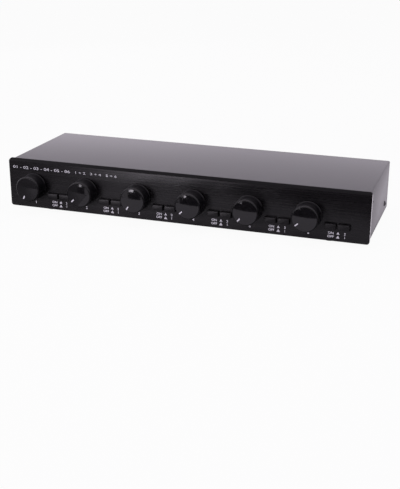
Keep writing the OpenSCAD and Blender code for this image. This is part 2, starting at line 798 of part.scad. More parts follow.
faceplate();
chassis_pan();
rear_panel();
cover();
main_board();
switch_board();
push_switches();
shaft_nuts();
lock_washers();
autoformer_cores();
autoformer_coils();
terminal_headers();
header_pins();
ribbon_cables();
board_standoffs();
board_screws();
rear_screws();
side_screws();
faceplate_screws();
rubber_feet();
foot_screws();
for (i = zone_list) {
    volume_control(i);
    control_shaft(i);
    knob(i);
    button(zone_x(i) + button_x);
    button(zone_x(i) + button_x + button_pitch);
}
for (i = block_list) {
    plug(i);
    plug_clamps(i);
}
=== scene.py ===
import json
import math

import bmesh
import bpy
from mathutils import Euler, Matrix, Vector


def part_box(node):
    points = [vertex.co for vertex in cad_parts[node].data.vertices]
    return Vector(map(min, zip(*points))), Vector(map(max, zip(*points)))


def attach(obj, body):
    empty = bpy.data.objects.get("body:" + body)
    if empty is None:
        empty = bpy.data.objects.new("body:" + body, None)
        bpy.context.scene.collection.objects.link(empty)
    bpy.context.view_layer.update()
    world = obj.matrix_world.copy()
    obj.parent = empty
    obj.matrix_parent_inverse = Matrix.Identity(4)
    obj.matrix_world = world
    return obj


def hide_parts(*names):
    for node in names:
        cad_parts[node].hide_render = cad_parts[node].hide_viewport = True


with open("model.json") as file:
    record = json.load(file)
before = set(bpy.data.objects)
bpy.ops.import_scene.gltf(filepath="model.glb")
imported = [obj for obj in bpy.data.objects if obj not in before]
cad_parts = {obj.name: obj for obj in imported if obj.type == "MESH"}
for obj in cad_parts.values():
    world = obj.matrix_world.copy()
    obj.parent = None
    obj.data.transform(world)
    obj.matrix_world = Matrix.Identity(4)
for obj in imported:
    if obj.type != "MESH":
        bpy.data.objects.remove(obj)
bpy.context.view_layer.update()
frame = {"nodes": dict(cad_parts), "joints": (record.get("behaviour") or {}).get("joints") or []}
mm = 0.001
nearby = 0.1 * mm  # what lies within this of a plane or a corner counts as on it
weldGap = 0.001 * mm  # points closer than this are one point
aligned = 0.99  # directions whose cosine is above this count as the same

# Sizes below are in mm and turns in degrees unless a note says otherwise. The camera's place and the
# printing's heights count from the plate's lower front edge.
plateLow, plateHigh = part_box("faceplate")
plateFront, plateFoot = plateLow.y, plateLow.z
coverLow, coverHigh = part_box("cover")
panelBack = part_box("rear_panel")[1].y
zones = range(1, 7)
buttonNodes = [f"{kind}_button_{i}" for kind in ("power", "source") for i in zones]
buttonBodies = [f"{kind}_{i}" for kind in ("power", "source") for i in zones]
plugNodes = ["output_plug_1", "output_plug_2", "output_plug_3", "input_plug"]
plugBodies = ["output_wiring_1", "output_wiring_2", "output_wiring_3", "input_wiring"]


def clearSelection():
    if bpy.context.object and bpy.context.object.mode != "OBJECT":
        bpy.ops.object.mode_set(mode="OBJECT")
    bpy.ops.object.select_all(action="DESELECT")


def workOn(piece):
    clearSelection()
    piece.select_set(True)
    bpy.context.view_layer.objects.active = piece


def fixPlace(piece, name):
    workOn(piece)
    bpy.ops.object.transform_apply(location=True, rotation=True, scale=True)
    piece.name = name
    piece.data.name = name
    return piece


def addBox(name, low, high):
    low, high = Vector(low), Vector(high)
    clearSelection()
    bpy.ops.mesh.primitive_cube_add(size=1, location=(low + high) / 2, scale=high - low)
    return fixPlace(bpy.context.object, name)


def addRod(name, middle, radius, length, axis, sides):
    turn = {"Y": (math.pi / 2, 0, 0), "Z": (0, 0, 0)}[axis]
    clearSelection()
    bpy.ops.mesh.primitive_cylinder_add(vertices=sides, radius=radius, depth=length,
                                        location=middle, rotation=turn)
    return fixPlace(bpy.context.object, name)


# Selects the faces, edges or points that pass a test, in edit mode
def pick(piece, kind, test):
    workOn(piece)
    bpy.ops.object.mode_set(mode="EDIT")
    bpy.ops.mesh.select_mode(type=kind)
    bpy.ops.mesh.select_all(action="DESELECT")
    mesh = bmesh.from_edit_mesh(piece.data)
    parts = {"FACE": mesh.faces, "EDGE": mesh.edges, "VERT": mesh.verts}[kind]
    for part in parts:
        if test(part):
            part.select_set(True)
    bmesh.update_edit_mesh(piece.data)


def runsAlong(edge, axis):
    line = edge.verts[1].co - edge.verts[0].co
    return line.length > weldGap and abs(line.normalized()["XYZ".index(axis)]) > aligned


def faces(face, direction):
    return face.normal.dot(Vector(direction)) > aligned


def roundEdges(piece, axis, radius, steps, test=lambda edge: True):
    pick(piece, "EDGE", lambda edge: runsAlong(edge, axis) and test(edge))
    bpy.ops.mesh.bevel(offset=radius, offset_type="OFFSET", segments=steps, affect="EDGES")
    bpy.ops.object.mode_set(mode="OBJECT")


def finishWith(piece, kind, **settings):
    workOn(piece)
    step = piece.modifiers.new(kind.title(), kind)
    for key, value in settings.items():
        setattr(step, key, value)
    bpy.ops.object.modifier_apply(modifier=step.name)


# Bevels only the edges that turn by more than this many degrees
def bevelCorners(piece, width, degrees):
    finishWith(piece, "BEVEL", width=width, segments=2, limit_method="ANGLE",
               angle_limit=math.radians(degrees))


def joinPieces(name, pieces):
    clearSelection()
    for piece in pieces:
        piece.select_set(True)
    bpy.context.view_layer.objects.active = pieces[0]
    if len(pieces) > 1:
        bpy.ops.object.join()
    joined = bpy.context.object
    joined.name = name
    joined.data.name = name
    return joined


def cutAway(piece, cutters):
    tool = joinPieces("cutter", cutters)
    finishWith(piece, "BOOLEAN", operation="DIFFERENCE", solver="EXACT", object=tool, use_self=True)
    bpy.data.objects.remove(tool)


def copyPiece(piece, name, place):
    twin = piece.copy()
    twin.data = piece.data.copy()
    bpy.context.scene.collection.objects.link(twin)
    twin.data.transform(place)
    twin.name = name
    twin.data.name = name
    return twin


# Tips what was made along z over about an axis, turns it about its own length, and moves it to a point
def setAt(point, tip, axis, turn):
    return Matrix.Translation(point) @ Matrix.Rotation(tip, 4, axis) @ Matrix.Rotation(turn, 4, "Z")


def dropPiece(piece):
    bpy.data.objects.remove(piece)


def smoothShade(piece, degrees=32):
    workOn(piece)
    bpy.ops.object.mode_set(mode="EDIT")
    bpy.ops.mesh.select_all(action="SELECT")
    bpy.ops.mesh.normals_make_consistent(inside=False)
    bpy.ops.object.mode_set(mode="OBJECT")
    bpy.ops.object.shade_smooth_by_angle(angle=math.radians(degrees))


def dress(piece, body, material, nodes=()):
    piece.data.materials.clear()
    piece.data.materials.append(material)
    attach(piece, body)
    if nodes:
        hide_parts(*nodes)


# Gives a second finish to the faces that pass the test
def dressFaces(piece, material, test):
    piece.data.materials.append(material)
    pick(piece, "FACE", test)
    piece.active_material_index = len(piece.data.materials) - 1
    bpy.ops.object.material_slot_assign()
    bpy.ops.object.mode_set(mode="OBJECT")


# A turned piece grows along z from the first (radius, height) to the last, each step extruded and
# scaled
def turnPiece(name, outline, sides):
    clearSelection()
    radius, height = outline[0]
    bpy.ops.mesh.primitive_circle_add(vertices=sides, radius=radius, location=(0, 0, height),
                                      fill_type="NGON")
    piece = fixPlace(bpy.context.object, name)
    bpy.ops.object.mode_set(mode="EDIT")
    bpy.ops.mesh.select_mode(type="FACE")
    bpy.ops.mesh.select_all(action="SELECT")
    for nextRadius, nextHeight in outline[1:]:
        move = {"value": (0, 0, nextHeight - height)}
        bpy.ops.mesh.extrude_region_move(TRANSFORM_OT_translate=move)
        grow = nextRadius / radius
        bpy.ops.transform.resize(value=(grow, grow, 1), center_override=(0, 0, nextHeight))
        radius, height = nextRadius, nextHeight
    bpy.ops.object.mode_set(mode="OBJECT")
    return piece


def arcPoints(middle, radius, start, end, steps):
    turns = [math.radians(start + (end - start) * k / steps) for k in range(steps + 1)]
    return [(middle[0] + radius * math.cos(t), middle[1] + radius * math.sin(t)) for t in turns]


# The box round each separate solid of a CAD node, from left to right
def solidBoxes(node):
    mesh = bmesh.new()
    mesh.from_mesh(frame["nodes"][node].data)
    bmesh.ops.remove_doubles(mesh, verts=mesh.verts, dist=weldGap)
    left, found = set(mesh.verts), []
    while left:
        reach, group = [left.pop()], []
        while reach:
            point = reach.pop()
            group.append(point.co.copy())
            for edge in point.link_edges:
                other = edge.other_vert(point)
                if other in left:
                    left.remove(other)
                    reach.append(other)
        low = Vector([min(co[k] for co in group) for k in range(3)])
        high = Vector([max(co[k] for co in group) for k in range(3)])
        found.append((low, high))
    mesh.free()
    return sorted(found, key=lambda box: tuple(round(v, 5) for v in (box[0] + box[1]) / 2))


# Where the photograph was taken from
cameraSettings = {"x": 346.9, "y": -951.9, "z": 347.6, "azimuth": 18.72, "elevation": 20.21,
                  "roll": 0.18, "lens": 69.38}


def placeCamera(look):
    place = (look["x"] * mm, plateFront + look["y"] * mm, plateFoot + look["z"] * mm)
    bpy.ops.object.camera_add(location=place)
    camera = bpy.context.object
    aim = Euler((math.radians(90 - look["elevation"]), 0, math.radians(look["azimuth"]))).to_matrix()
    camera.rotation_euler = (aim @ Matrix.Rotation(math.radians(look["roll"]), 3, "Z")).to_euler()
    camera.data.lens = look["lens"]
    bpy.context.scene.camera = camera


# Places and sizes in m, power in W
lampSettings = {
    "key": {"place": (-0.6, -1.4, 0.17), "size": (0.36, 0.26), "power": 7.6},
    "top": {"place": (0.1, -0.2, 1.6), "size": (1.6, 1.2), "power": 12.0, "mirrored": False},
    "back": {"place": (-0.75, 1.05, 0.4), "size": (0.8, 0.5), "power": 0.8},
}
studioTint = (1.0, 0.93, 1.03)


def placeLamps(lamps):
    for name, look in lamps.items():
        bpy.ops.object.light_add(type="AREA", location=look["place"])
        lamp = bpy.context.object
        lamp.name = name + "_lamp"
        lamp.data.shape = "RECTANGLE"
        lamp.data.size, lamp.data.size_y = look["size"]
        lamp.data.energy = look["power"]
        lamp.data.color = studioTint
        lamp.rotation_euler = (-Vector(look["place"])).to_track_quat("-Z", "Y").to_euler()
        lamp.visible_glossy = look.get("mirrored", True)


# The floor's half width in m, its tone, how bright the camera sees it, and the light all round:
# on matt surfaces and in reflections
stageSettings = {"floorHalf": 3.0, "floorTone": (0.62, 0.62, 0.63, 1), "floorGlow": 0.95,
                 "ambient": 0.45, "surround": 2.33}


def placeFloor(look):
    clearSelection()
    bpy.ops.mesh.primitive_plane_add(size=2 * look["floorHalf"])
    floor = bpy.context.object
    floor.name = "floor"
    paper = bpy.data.materials.new("pale_floor")
    paper.use_nodes = True
    nodes, links = paper.node_tree.nodes, paper.node_tree.links
    nodes.clear()
    matt = nodes.new("ShaderNodeBsdfDiffuse")
    matt.inputs["Color"].default_value = look["floorTone"]
    glow = nodes.new("ShaderNodeEmission")
    path = nodes.new("ShaderNodeLightPath")
    share = nodes.new("ShaderNodeMath")
    share.operation = "MULTIPLY"
    share.inputs[1].default_value = look["floorGlow"]
    mix = nodes.new("ShaderNodeMixShader")
    output = nodes.new("ShaderNodeOutputMaterial")
    links.new(path.outputs["Is Camera Ray"], share.inputs[0])
    links.new(share.outputs[0], mix.inputs["Fac"])
    links.new(matt.outputs[0], mix.inputs[1])
    links.new(glow.outputs[0], mix.inputs[2])
    links.new(mix.outputs[0], output.inputs["Surface"])
    floor.data.materials.append(paper)


def placeWorld(look):
    world = bpy.context.scene.world or bpy.data.worlds.new("studio")
    bpy.context.scene.world = world
    world.use_nodes = True
    nodes, links = world.node_tree.nodes, world.node_tree.links
    nodes.clear()
    path = nodes.new("ShaderNodeLightPath")
    output = nodes.new("ShaderNodeOutputWorld")
    shades = {}
    lights = (("soft", look["ambient"], studioTint), ("mirrored", look["surround"], studioTint),
              ("seen", 1.0, (1, 1, 1)))
    for name, strength, tint in lights:
        shades[name] = nodes.new("ShaderNodeBackground")
        shades[name].inputs["Color"].default_value = (*tint, 1)
        shades[name].inputs["Strength"].default_value = strength
    last = shades["soft"]
    for ray, name in (("Is Glossy Ray", "mirrored"), ("Is Camera Ray", "seen")):
        mix = nodes.new("ShaderNodeMixShader")
        links.new(path.outputs[ray], mix.inputs["Fac"])
        links.new(last.outputs[0], mix.inputs[1])
        links.new(shades[name].outputs[0], mix.inputs[2])
        last = mix
    links.new(last.outputs[0], output.inputs["Surface"])


boardTone = (0.01, 0.01, 0.01, 1)


# Cards and boards are seen only in reflections
def hideBoard(part, glow):
    shade = bpy.data.materials.new("board_glow")
    shade.use_nodes = True
    shader = shade.node_tree.nodes["Principled BSDF"]
    shader.inputs["Base Color"].default_value = boardTone
    shader.inputs["Emission Color"].default_value = (*studioTint, 1)
    shader.inputs["Emission Strength"].default_value = glow
    part.data.materials.append(shade)
    part.visible_camera = part.visible_shadow = part.visible_diffuse = False


# A dark card low in front gives the knobs' faces their dark upper part, and its bright spots give
# them their highlights. Each stretch, from left to right, has the x where it ends and its glow.
cardSettings = {"left": -1500, "ahead": 118, "top": 105, "thick": 2, "spotThick": 1,
                "stretches": ((-175, 0.1), (-145, 0), (-116, 0.45), (-64, 0), (-58, 0.45), (700, 0))}
# How far left of its knob each spot stands, its height, its size and its glow
spotSettings = {
    2: {"left": 46.3, "up": 30, "wide": 10, "tall": 5, "glow": 4.5},
    3: {"left": 51.5, "up": 31, "wide": 20, "tall": 6, "glow": 7},
    4: {"left": 55.6, "up": 30.5, "wide": 20, "tall": 5, "glow": 8},
    5: {"left": 52, "up": 29, "wide": 14, "tall": 3.5, "glow": 7},
    6: {"left": 46.5, "up": 29, "wide": 12, "tall": 3, "glow": 5},
}


def placeCard(look, spots):
    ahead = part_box("knob_1")[0].y - look["ahead"] * mm
    left = look["left"]
    for right, glow in look["stretches"]:
        card = addBox("card", (left * mm, ahead - look["thick"] * mm, 0),
                      (right * mm, ahead, look["top"] * mm))
        hideBoard(card, glow)
        left = right
    for i, spot in spots.items():
        low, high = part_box(f"knob_{i}")
        x, z = (low.x + high.x) / 2 - spot["left"] * mm, spot["up"] * mm
        half, reach = spot["wide"] / 2 * mm, spot["tall"] / 2 * mm
        mark = addBox("card_spot", (x - half, ahead, z - reach),
                      (x + half, ahead + look["spotThick"] * mm, z + reach))
        hideBoard(mark, spot["glow"])


# Boards that lie on the floor, with their x and y in m. The first two give the case's sides their
# sheen, and the last one darkens the left end of the front.
boardSettings = (
    {"x": (0.217, 0.8), "y": (-0.06, 0.8), "glow": 1.6},
    {"x": (-0.8, -0.217), "y": (-0.085, 0.085), "glow": 0.7},
    {"x": (-0.6, -0.135), "y": (-0.208, -0.067), "glow": 0.12},
)
boardHeights = (0.2, 0.6)


def placeBoards(boards, heights):
    for board in boards:
        low, high = [Vector((board["x"][end], board["y"][end], heights[end] * mm)) for end in (0, 1)]
        hideBoard(addBox("board", low, high), board["glow"])


# Where on the noise the two tones and the two roughnesses stand
grainSettings = {"toneFrom": 0.35, "toneTo": 0.65, "roughFrom": 0.3, "roughTo": 0.7}


# Two tones mixed by a stretched noise, which also moves the roughness, over a finer bump
def makeFinish(name, look):
    made = bpy.data.materials.new(name)
    made.use_nodes = True
    nodes, links = made.node_tree.nodes, made.node_tree.links
    shader = nodes["Principled BSDF"]
    for socket, key in (("Metallic", "metal"), ("IOR", "ior"), ("Coat Weight", "coat"),
                        ("Coat Roughness", "coatRough")):
        if key in look:
            shader.inputs[socket].default_value = look[key]
    place = nodes.new("ShaderNodeTexCoord")
    mapping = nodes.new("ShaderNodeMapping")
    mapping.inputs["Scale"].default_value = look.get("stretch", (1, 1, 1))
    links.new(place.outputs["Object"], mapping.inputs["Vector"])
    noise = nodes.new("ShaderNodeTexNoise")
    noise.inputs["Scale"].default_value = look["grain"]
    noise.inputs["Detail"].default_value = look.get("detail", 4)
    links.new(mapping.outputs[0], noise.inputs["Vector"])
    tones = nodes.new("ShaderNodeValToRGB")
    tones.color_ramp.elements[0].position = grainSettings["toneFrom"]
    tones.color_ramp.elements[0].color = (*look["dark"], 1)
    tones.color_ramp.elements[1].position = grainSettings["toneTo"]
    tones.color_ramp.elements[1].color = (*look["light"], 1)
    links.new(noise.outputs["Fac"], tones.inputs["Fac"])
    links.new(tones.outputs["Color"], shader.inputs["Base Color"])
    rough = nodes.new("ShaderNodeMapRange")
    rough.inputs["From Min"].default_value = grainSettings["roughFrom"]
    rough.inputs["From Max"].default_value = grainSettings["roughTo"]
    rough.inputs["To Min"].default_value, rough.inputs["To Max"].default_value = look["rough"]
    links.new(noise.outputs["Fac"], rough.inputs["Value"])
    links.new(rough.outputs["Result"], shader.inputs["Roughness"])
    fine = nodes.new("ShaderNodeTexNoise")
    fine.inputs["Scale"].default_value = look["bumpGrain"]
    fine.inputs["Detail"].default_value = look.get("bumpDetail", 2)
    links.new(mapping.outputs[0], fine.inputs["Vector"])
    bump = nodes.new("ShaderNodeBump")
    bump.inputs["Strength"].default_value = 1.0
    bump.inputs["Distance"].default_value = look["bump"] * mm
    links.new(fine.outputs["Fac"], bump.inputs["Height"])
    links.new(bump.outputs["Normal"], shader.inputs["Normal"])
    return made


# A finish has two tones, the ends of its roughness, and the scales of its two noises
finishes = {
    # brushed along x, so the grain is long across the plate and very fine up and down
    "brushed_plate": {"dark": (0.0022, 0.0019, 0.0025), "light": (0.0046, 0.0039, 0.0045), "grain": 90,
                      "stretch": (0.06, 1, 6), "detail": 5, "rough": (0.25, 0.29), "bumpGrain": 300,
                      "bumpDetail": 3, "bump": 0.01, "ior": 1.42},
    # painted shade: a darker, less reflective copy of the plate's finish for its upward-facing top band
    "shaded_plate_top": {"dark": (0.0015, 0.0014, 0.0016), "light": (0.0025, 0.0023, 0.0027), "grain": 90,
                   "stretch": (0.06, 1, 6), "rough": (0.4, 0.5), "bumpGrain": 300, "bump": 0.005,
                   "ior": 1.14},
    "textured_paint": {"dark": (0.008, 0.0074, 0.0088), "light": (0.011, 0.0102, 0.012), "grain": 900,
                       "rough": (0.52, 0.56), "bumpGrain": 1400, "bumpDetail": 3, "bump": 0.012,
                       "ior": 1.5},
    # painted shade: the back panel wears a darker, less reflective copy of the cover's paint
    "shaded_panel_paint": {"dark": (0.005, 0.0046, 0.0056), "light": (0.008, 0.0074, 0.0088), "grain": 70,
                    "rough": (0.46, 0.54), "bumpGrain": 1400, "bumpDetail": 3, "bump": 0.012,
                    "ior": 1.36},
    "knob_side": {"dark": (0.0022, 0.0020, 0.0025), "light": (0.0035, 0.0032, 0.0038), "grain": 300,
                  "rough": (0.28, 0.34), "bumpGrain": 900, "bump": 0.003, "ior": 1.25},
    "knob_plastic": {"dark": (0.0035, 0.0033, 0.004), "light": (0.005, 0.0046, 0.0055), "grain": 300,
                     "rough": (0.06, 0.09), "bumpGrain": 500, "bump": 0.001, "ior": 1.6},
    "cap_plastic": {"dark": (0.003, 0.0027, 0.0032), "light": (0.005, 0.0044, 0.0051), "grain": 500,
                    "rough": (0.32, 0.40), "bumpGrain": 2500, "bump": 0.004, "ior": 1.34},
    "plug_plastic": {"dark": (0.0025, 0.0023, 0.0028), "light": (0.0045, 0.0041, 0.0049), "grain": 400,
                     "rough": (0.34, 0.42), "bumpGrain": 2200, "bump": 0.006, "ior": 1.4},
    "white_print": {"dark": (0.62, 0.62, 0.66), "light": (0.74, 0.74, 0.77), "grain": 900,
                    "rough": (0.5, 0.6), "bumpGrain": 3000, "bump": 0.002},
    "grey_print": {"dark": (0.34, 0.34, 0.36), "light": (0.42, 0.42, 0.44), "grain": 900,
                   "rough": (0.5, 0.6), "bumpGrain": 3000, "bump": 0.002},
    "nickel": {"dark": (0.36, 0.345, 0.335), "light": (0.48, 0.46, 0.44), "grain": 700, "metal": 1.0,
               "rough": (0.10, 0.18), "bumpGrain": 2500, "bump": 0.004},
    "zinc_sheet": {"dark": (0.40, 0.41, 0.42), "light": (0.58, 0.59, 0.60), "grain": 45, "metal": 1.0,
                   "rough": (0.32, 0.5), "bumpGrain": 900, "bump": 0.008},
    # painted shade: a dark colour put in the screws' cross recesses for the shadow that falls there
    "painted_recess_shade": {"dark": (0.008, 0.008, 0.008), "light": (0.014, 0.013, 0.013), "grain": 900,
                     "rough": (0.6, 0.7), "bumpGrain": 2600, "bump": 0.004},
    "black_screw": {"dark": (0.012, 0.012, 0.013), "light": (0.022, 0.021, 0.023), "grain": 900,
                    "rough": (0.3, 0.42), "bumpGrain": 2600, "bump": 0.004, "metal": 0.4},
    "lamination": {"dark": (0.16, 0.16, 0.17), "light": (0.30, 0.30, 0.31), "grain": 60,
                   "stretch": (0.2, 30, 0.2), "metal": 1.0, "rough": (0.4, 0.55), "bumpGrain": 90,
                   "bump": 0.05},
    "copper_wire": {"dark": (0.34, 0.12, 0.04), "light": (0.62, 0.26, 0.10), "grain": 60,
                    "stretch": (0.3, 0.3, 22), "metal": 1.0, "rough": (0.24, 0.36), "bumpGrain": 80,
                    "bump": 0.08},
    "brass": {"dark": (0.62, 0.46, 0.20), "light": (0.76, 0.60, 0.30), "grain": 500, "metal": 1.0,
              "rough": (0.22, 0.34), "bumpGrain": 2500, "bump": 0.003},
    "ribbon": {"dark": (0.20, 0.20, 0.21), "light": (0.34, 0.34, 0.35), "grain": 300,
               "stretch": (2.6, 0.1, 0.1), "rough": (0.42, 0.5), "bumpGrain": 300, "bump": 0.1},
    "rubber": {"dark": (0.010, 0.010, 0.011), "light": (0.018, 0.018, 0.019), "grain": 350,
               "rough": (0.62, 0.78), "bumpGrain": 1500, "bump": 0.02},
    "steel_bar": {"dark": (0.45, 0.45, 0.46), "light": (0.58, 0.58, 0.59), "grain": 200,
                  "stretch": (1, 0.1, 1), "metal": 1.0, "rough": (0.2, 0.32), "bumpGrain": 900,
                  "bump": 0.004},
    "control_resin": {"dark": (0.10, 0.065, 0.035), "light": (0.16, 0.11, 0.06), "grain": 220,
                      "rough": (0.4, 0.55), "bumpGrain": 1200, "bump": 0.01},
    "switch_resin": {"dark": (0.035, 0.036, 0.040), "light": (0.05, 0.05, 0.055), "grain": 500,
                     "rough": (0.35, 0.48), "bumpGrain": 2000, "bump": 0.005},
    "board_green": {"dark": (0.010, 0.075, 0.025), "light": (0.018, 0.13, 0.045), "grain": 55,
                    "stretch": (4, 0.6, 1), "rough": (0.22, 0.34), "bumpGrain": 120, "bump": 0.03,
                    "coat": 0.4, "coatRough": 0.1},
}

# The finish and the record's slot of each CAD node that stays as it is
keptNodes = {
    # the back panel's finish is the cover's paint darkened: painted shade
    "rear_panel": ("shaded_panel_paint", "textured_black_paint"),
    "chassis_pan": ("zinc_sheet", "zinc_steel"),
    "main_board": ("board_green", "circuit_board"),
    "switch_board": ("board_green", "circuit_board"),
    "push_switches": ("switch_resin", "switch_plastic"),
    "shaft_nuts": ("nickel", "nickel_steel"),
    "lock_washers": ("nickel", "nickel_steel"),
    "autoformer_cores": ("lamination", "lamination_steel"),
    "autoformer_coils": ("copper_wire", "copper_winding"),
    "terminal_headers": ("plug_plastic", "terminal_plastic"),
    "header_pins": ("brass", "pin_brass"),
    "ribbon_cables": ("ribbon", "ribbon_plastic"),
    "board_standoffs": ("brass", "pin_brass"),
    "board_screws": ("nickel", "nickel_steel"),
    "faceplate_screws": ("nickel", "nickel_steel"),
    "foot_screws": ("nickel", "nickel_steel"),
}
for i in zones:
    keptNodes[f"volume_control_{i}"] = ("control_resin", "switch_plastic")
    keptNodes[f"control_shaft_{i}"] = ("steel_bar", "shaft_aluminium")
for i in range(1, len(plugNodes) + 1):
    keptNodes[f"plug_clamps_{i}"] = ("nickel", "nickel_steel")


# The band is the slant along the upper front edge. Painted shade, a darker and less reflective copy of
# the plate's finish, goes on the upward-facing faces near the top, within the reach and past the lean
# given below.
plateSettings = {"corner": 3.0, "cornerSteps": 6, "bandHeight": 3.0, "bandDepth": 1.2, "edge": 0.22,
                 "edgeAngle": 20, "shadeLean": 0.3, "shadeReach": 4, "openingGap": 0.4,
                 "openingCorner": 1.0, "openingSteps": 3, "nutHole": 8.4, "nutHoleLong": 6,
                 "nutHoleSides": 64, "smooth": 18}


def makePlate(look, finish, shadedTopFinish):
    plate = addBox("front_plate", plateLow, plateHigh)
    roundEdges(plate, "Y", look["corner"] * mm, look["cornerSteps"])
    pick(plate, "FACE", lambda face: True)
    bpy.ops.mesh.bisect(plane_co=(0, plateLow.y, plateHigh.z - look["bandHeight"] * mm),
                        plane_no=(0, -look["bandHeight"], look["bandDepth"]),
                        use_fill=True, clear_outer=True)
    bpy.ops.object.mode_set(mode="OBJECT")
    cutters = []
    gap = Vector((1, 0, 1)) * look["openingGap"] * mm
    for node in buttonNodes:
        low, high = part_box(node)
        low, high = low - gap, high + gap
        cutter = addBox("opening", (low.x, plateLow.y - mm, low.z), (high.x, plateHigh.y + mm, high.z))
        roundEdges(cutter, "Y", look["openingCorner"] * mm, look["openingSteps"])
        cutters.append(cutter)
    for i in zones:
        low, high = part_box(f"knob_{i}")
        middle = (low + high) / 2
        middle.y = (plateLow.y + plateHigh.y) / 2
        cutters.append(addRod("nut_hole", middle, look["nutHole"] * mm, look["nutHoleLong"] * mm, "Y",
                              look["nutHoleSides"]))
    cutAway(plate, cutters)
    bevelCorners(plate, look["edge"] * mm, look["edgeAngle"])
    smoothShade(plate, look["smooth"])
    dress(plate, "case", finish, ["faceplate"])
    # painted shade on the upward-facing faces of the top band
    shadeFoot = plateHigh.z - look["shadeReach"] * mm
    dressFaces(plate, shadedTopFinish, lambda face: face.normal.z > look["shadeLean"]
               and face.calc_center_median().z > shadeFoot)


# The pointer stands at lowStop when its knob is at the lower stop. The face finish goes on the faces
# within faceDeep of the front whose normal points forwards by more than faceLean.
knobSettings = {"crown": 0.8, "crownSteps": 9, "tip": 0.2, "rim": 1.8, "rimTurn": 82, "rimSteps": 8,
                "ringOut": 0.5, "ringHeight": 1.4, "ease": 0.3, "wall": 2.4, "hub": 5.5, "bore": 3.0,
                "hollow": 13.0, "grip": 12.0, "sides": 96, "smooth": 38, "faceLean": 0.985,
                "faceDeep": 1.5, "pointerFrom": 8.5, "pointerWidth": 1.5, "pointerDeep": 0.4,
                "pointerClear": 2, "inkSunk": 0.12, "inkEdge": 0.1, "lowStop": 245}


def makeKnobs(look, finish, faceFinish, ink):
    low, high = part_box("knob_1")
    length = (high.y - low.y) / mm
    ring = (high.x - low.x) / mm / 2
    radius = ring - look["ringOut"]
    faceRadius = radius - look["rim"]
    inside, ease, steps = radius - look["wall"], look["ease"], look["crownSteps"]

    def crownAt(r):
        return length - look["crown"] * (r / faceRadius) ** 2

    rimMiddle = (faceRadius, length - look["crown"] - look["rim"])
    outline = [(look["bore"], look["grip"]), (look["bore"], 0), (look["hub"], 0),
               (look["hub"], look["hollow"]), (inside, look["hollow"]), (inside, ease), (inside + ease, 0),
               (ring - ease, 0), (ring, ease), (ring, look["ringHeight"]),
               (radius, look["ringHeight"] + look["ringOut"])]
    outline += arcPoints(rimMiddle, look["rim"], 0, look["rimTurn"], look["rimSteps"])
    outline += [(faceRadius * k / steps, crownAt(faceRadius * k / steps)) for k in range(steps, 0, -1)]
    outline.append((look["tip"], length))
    knob = turnPiece("knob_model", [(r * mm, h * mm) for r, h in outline], look["sides"])

    # the groove follows the crown from the pointer's start to the face's edge
    start = crownAt(look["pointerFrom"])
    fall = crownAt(faceRadius) - start
    half = look["pointerWidth"] / 2

    def bar(name, bottom, top):
        block = addBox(name, (look["pointerFrom"] * mm, -half * mm, (start - bottom) * mm),
                       (faceRadius * mm, half * mm, (start + top) * mm))
        pick(block, "VERT", lambda point: point.co.x > faceRadius * mm - nearby)
        bpy.ops.transform.translate(value=(0, 0, fall * mm))
        bpy.ops.object.mode_set(mode="OBJECT")
        return block

    cutAway(knob, [bar("groove", look["pointerDeep"], look["pointerClear"])])
    smoothShade(knob, look["smooth"])
    inlay = bar("inlay_model", look["pointerDeep"], -look["inkSunk"])
    finishWith(inlay, "BEVEL", width=look["inkEdge"] * mm, segments=2)
    smoothShade(inlay)
    hinges = [joint for joint in frame["joints"] if joint["type"] == "hinge"]
    stops = {joint["child"]: joint["range_deg"][0] for joint in hinges}
    for i in zones:
        low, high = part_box(f"knob_{i}")
        middle = (low + high) / 2
        angle = math.radians(look["lowStop"] + stops[f"volume_{i}"])
        place = setAt((middle.x, high.y, middle.z), math.pi / 2, "X", angle)
        body = copyPiece(knob, f"knob_body_{i}", place)
        dress(body, f"volume_{i}", finish, [f"knob_{i}"])
        faceBack = low.y + look["faceDeep"] * mm
        dressFaces(body, faceFinish, lambda face: face.normal.y < -look["faceLean"]
                   and face.calc_center_median().y < faceBack)
        dress(copyPiece(inlay, f"knob_pointer_{i}", place), f"volume_{i}", ink)
    dropPiece(knob)
    dropPiece(inlay)


capSettings = {"length": 12.5, "corner": 0.8, "cornerSteps": 4, "edge": 0.5, "edgeSteps": 3, "stem": 3.2,
               "stemOverlap": 1, "stemEdge": 0.3}


def makeCaps(look, finish):
    low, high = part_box(buttonNodes[0])
    cap = addBox("cap_model", low, (high.x, low.y + look["length"] * mm, high.z))
    roundEdges(cap, "Y", look["corner"] * mm, look["cornerSteps"])
    pick(cap, "EDGE", lambda edge: all(point.co.y < low.y + nearby for point in edge.verts))
    bpy.ops.mesh.bevel(offset=look["edge"] * mm, segments=look["edgeSteps"], affect="EDGES")
    bpy.ops.object.mode_set(mode="OBJECT")
    middle, half = (low + high) / 2, look["stem"] / 2 * mm
    stemFront = low.y + (look["length"] - look["stemOverlap"]) * mm
    stem = addBox("stem", (middle.x - half, stemFront, middle.z - half),
                  (middle.x + half, high.y, middle.z + half))
    finishWith(stem, "BEVEL", width=look["stemEdge"] * mm, segments=2)
    cap = joinPieces("cap_model", [cap, stem])
    smoothShade(cap)
    for node, body in zip(buttonNodes, buttonBodies):
        place = Matrix.Translation(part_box(node)[0] - low)
        twin = copyPiece(cap, node.replace("button", "cap"), place)
        dress(twin, body, finish, [node])
    dropPiece(cap)


coverSettings = {"sheet": 1.2, "bend": 1.8, "bendSteps": 6, "flange": 10.0, "screwFlange": 12.0,
                 "inset": 15.5, "edge": 0.2, "edgeAngle": 50}


